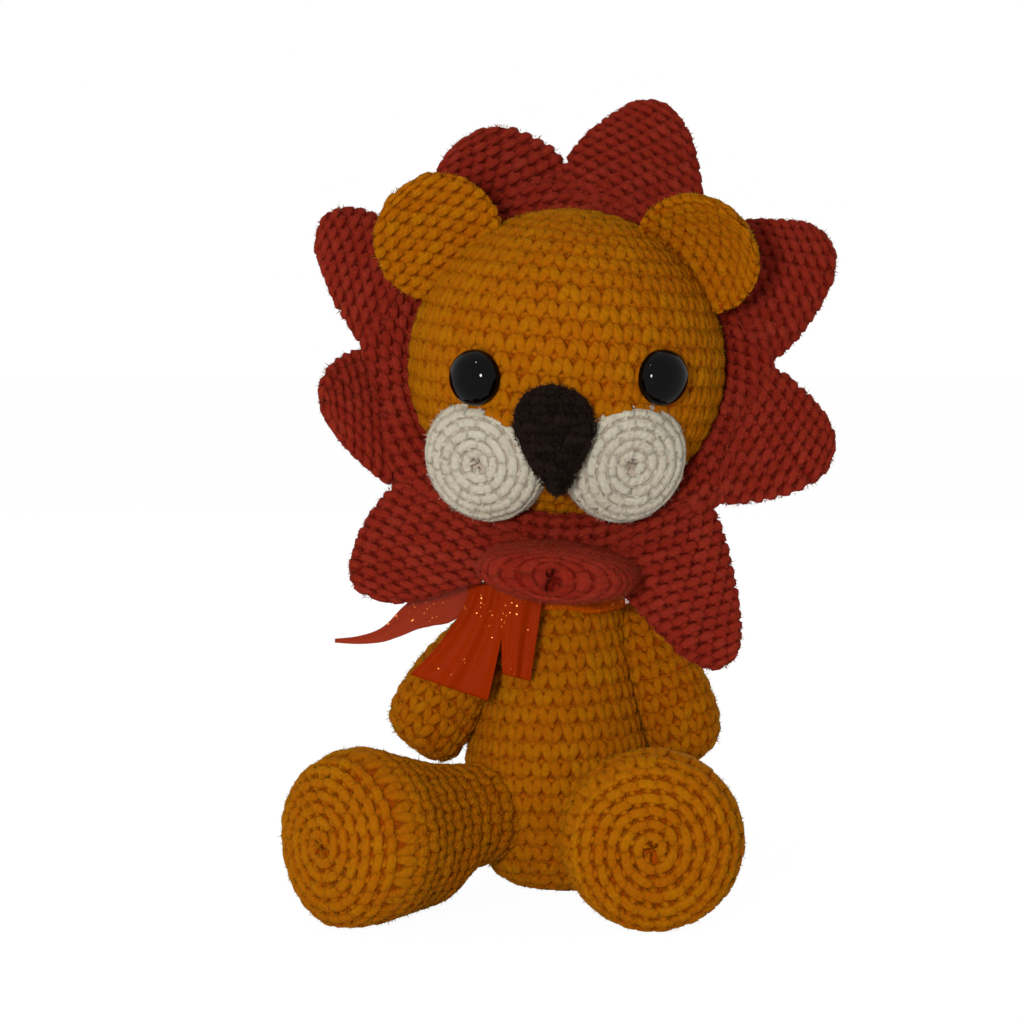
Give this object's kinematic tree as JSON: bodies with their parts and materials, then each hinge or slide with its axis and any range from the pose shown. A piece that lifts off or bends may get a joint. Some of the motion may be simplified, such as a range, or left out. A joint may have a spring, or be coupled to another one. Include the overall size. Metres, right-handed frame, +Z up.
{
  "type": "crocheted toy lion",
  "caption": "Seated crocheted toy lion with a red pointed mane, round feet, safety eyes and a sheer ribbon round its neck.",
  "frame": {"origin": "middle of the flat base that the body sits on, at floor level", "axes": "+Z up, the lion faces -Y, its own left side is +X"},
  "size_m": [0.1418, 0.1299, 0.2056],
  "materials": {
    "yellow_yarn": "single crochet in acrylic yarn, matt",
    "red_yarn": "single crochet in acrylic yarn, matt",
    "cream_yarn": "single crochet in acrylic yarn, matt",
    "brown_yarn": "single crochet in acrylic yarn, matt",
    "fibrefill": "loose polyester filling",
    "black_plastic": "polished safety eye",
    "white_plastic": "moulded washer",
    "organza": "sheer, with fine glitter"
  },
  "bodies": {
    "torso": {"body_cover": "yellow_yarn", "body_stuffing": "fibrefill", "ribbon_band": "organza", "ribbon_knot": "organza", "ribbon_end_wide": "organza", "ribbon_end_short": "organza", "ribbon_end_side": "organza"},
    "head": {"head_cover": "yellow_yarn", "head_stuffing": "fibrefill", "left_eye": "black_plastic", "right_eye": "black_plastic", "left_eye_washer": "white_plastic", "right_eye_washer": "white_plastic", "left_cheek": "cream_yarn", "right_cheek": "cream_yarn", "left_cheek_stuffing": "fibrefill", "right_cheek_stuffing": "fibrefill", "nose": "brown_yarn", "left_ear": "yellow_yarn", "right_ear": "yellow_yarn", "mane_ring": "red_yarn", "mane_point_1": "red_yarn", "mane_point_2": "red_yarn", "mane_point_3": "red_yarn", "mane_point_4": "red_yarn", "mane_point_5": "red_yarn", "mane_point_6": "red_yarn", "mane_point_7": "red_yarn", "mane_point_8": "red_yarn", "mane_point_9": "red_yarn"},
    "left_arm": {"left_arm_cover": "yellow_yarn", "left_arm_stuffing": "fibrefill"},
    "right_arm": {"right_arm_cover": "yellow_yarn", "right_arm_stuffing": "fibrefill"},
    "left_leg": {"left_leg_cover": "yellow_yarn", "left_leg_stuffing": "fibrefill"},
    "right_leg": {"right_leg_cover": "yellow_yarn", "right_leg_stuffing": "fibrefill"},
    "tail": {"tail": "yellow_yarn", "tail_tuft": "red_yarn"}
  },
  "joints": [
    {"name": "head_turn", "type": "hinge", "parent": "torso", "child": "head", "pos_m": [0.001, -0.002, 0.0955], "axis": [0, 0, 1], "range_deg": [-10, 10]},
    {"name": "left_arm_lift", "type": "hinge", "parent": "torso", "child": "left_arm", "pos_m": [0.0199, -0.003, 0.0686], "axis": [0, -1, 0], "range_deg": [0, 50]},
    {"name": "right_arm_lift", "type": "hinge", "parent": "torso", "child": "right_arm", "pos_m": [-0.0178, -0.003, 0.0686], "axis": [0, 1, 0], "range_deg": [0, 45]},
    {"name": "left_leg_swing", "type": "hinge", "parent": "torso", "child": "left_leg", "pos_m": [0.0228, -0.012, 0.0213], "axis": [-0.9994, 0.0349, 0], "range_deg": [-20, 10]},
    {"name": "right_leg_swing", "type": "hinge", "parent": "torso", "child": "right_leg", "pos_m": [-0.02, -0.0125, 0.0213], "axis": [-0.7193, 0.6947, 0], "range_deg": [-20, 10]},
    {"name": "tail_swing", "type": "hinge", "parent": "torso", "child": "tail", "pos_m": [0, 0.0215, 0.013], "axis": [0, 0, 1], "range_deg": [-20, 20]}
  ]
}
